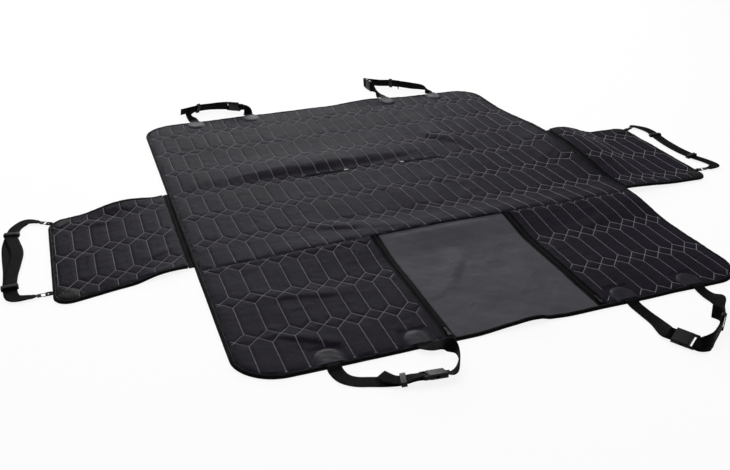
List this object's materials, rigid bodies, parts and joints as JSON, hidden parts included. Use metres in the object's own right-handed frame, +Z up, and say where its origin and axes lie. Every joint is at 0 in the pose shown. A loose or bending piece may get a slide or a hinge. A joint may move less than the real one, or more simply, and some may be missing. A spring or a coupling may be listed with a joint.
{
  "type": "car seat cover",
  "caption": "Quilted hammock cover for a rear bench seat, laid out flat, with a zipped centre panel, side flaps and buckled headrest straps.",
  "frame": {"origin": "middle of the main body, on the underside's flat face, which is the floor that the cover lies on", "axes": "+X across the car to the cover's right, +Y towards the backrest edge, +Z up"},
  "size_m": [2.0893, 1.9059, 0.0466],
  "materials": {
    "quilted_oxford": "matt coated oxford cloth, quilted",
    "plain_oxford": "matt coated oxford cloth, plain",
    "edge_tape": "woven edge tape",
    "zip_tape": "woven zip tape with moulded coil",
    "coated_patch": "coated cloth with a low sheen",
    "webbing": "flat woven webbing",
    "buckle_plastic": "moulded, half gloss",
    "zinc": "plated wire and casting"
  },
  "bodies": {
    "root": {"back_and_seat_panel": "quilted_oxford", "front_left_panel": "quilted_oxford", "front_right_panel": "quilted_oxford", "left_flap_panel": "quilted_oxford", "right_flap_panel": "quilted_oxford", "centre_panel": "plain_oxford", "edge_tape": "edge_tape", "left_flap_tape": "edge_tape", "right_flap_tape": "edge_tape", "centre_zip_left": "zip_tape", "centre_zip_right": "zip_tape", "left_flap_zip": "zip_tape", "right_flap_zip": "zip_tape", "centre_zip_pull_left": "zinc", "centre_zip_pull_right": "zinc", "back_patch_left_inner": "coated_patch", "back_patch_left_outer": "coated_patch", "back_patch_right_inner": "coated_patch", "back_patch_right_outer": "coated_patch", "front_patch_left_inner": "coated_patch", "front_patch_left_outer": "coated_patch", "front_patch_right_inner": "coated_patch", "front_patch_right_outer": "coated_patch", "back_left_slider_strap": "webbing", "back_left_plain_strap": "webbing", "back_left_plug": "buckle_plastic", "back_left_socket": "buckle_plastic", "back_left_slider": "buckle_plastic", "back_right_slider_strap": "webbing", "back_right_plain_strap": "webbing", "back_right_plug": "buckle_plastic", "back_right_socket": "buckle_plastic", "back_right_slider": "buckle_plastic", "front_left_slider_strap": "webbing", "front_left_plain_strap": "webbing", "front_left_plug": "buckle_plastic", "front_left_socket": "buckle_plastic", "front_left_slider": "buckle_plastic", "front_right_slider_strap": "webbing", "front_right_plain_strap": "webbing", "front_right_plug": "buckle_plastic", "front_right_socket": "buckle_plastic", "front_right_slider": "buckle_plastic", "left_flap_strap": "webbing", "left_flap_strap_layer": "webbing", "left_flap_slider_back": "buckle_plastic", "left_flap_slider_front": "buckle_plastic", "left_flap_tab_back": "webbing", "left_flap_tab_front": "webbing", "left_flap_hook_back": "zinc", "left_flap_hook_front": "zinc", "right_flap_strap": "webbing", "right_flap_strap_layer": "webbing", "right_flap_slider_back": "buckle_plastic", "right_flap_slider_front": "buckle_plastic", "right_flap_tab_back": "webbing", "right_flap_tab_front": "webbing", "right_flap_hook_back": "zinc", "right_flap_hook_front": "zinc"}
  },
  "joints": []
}
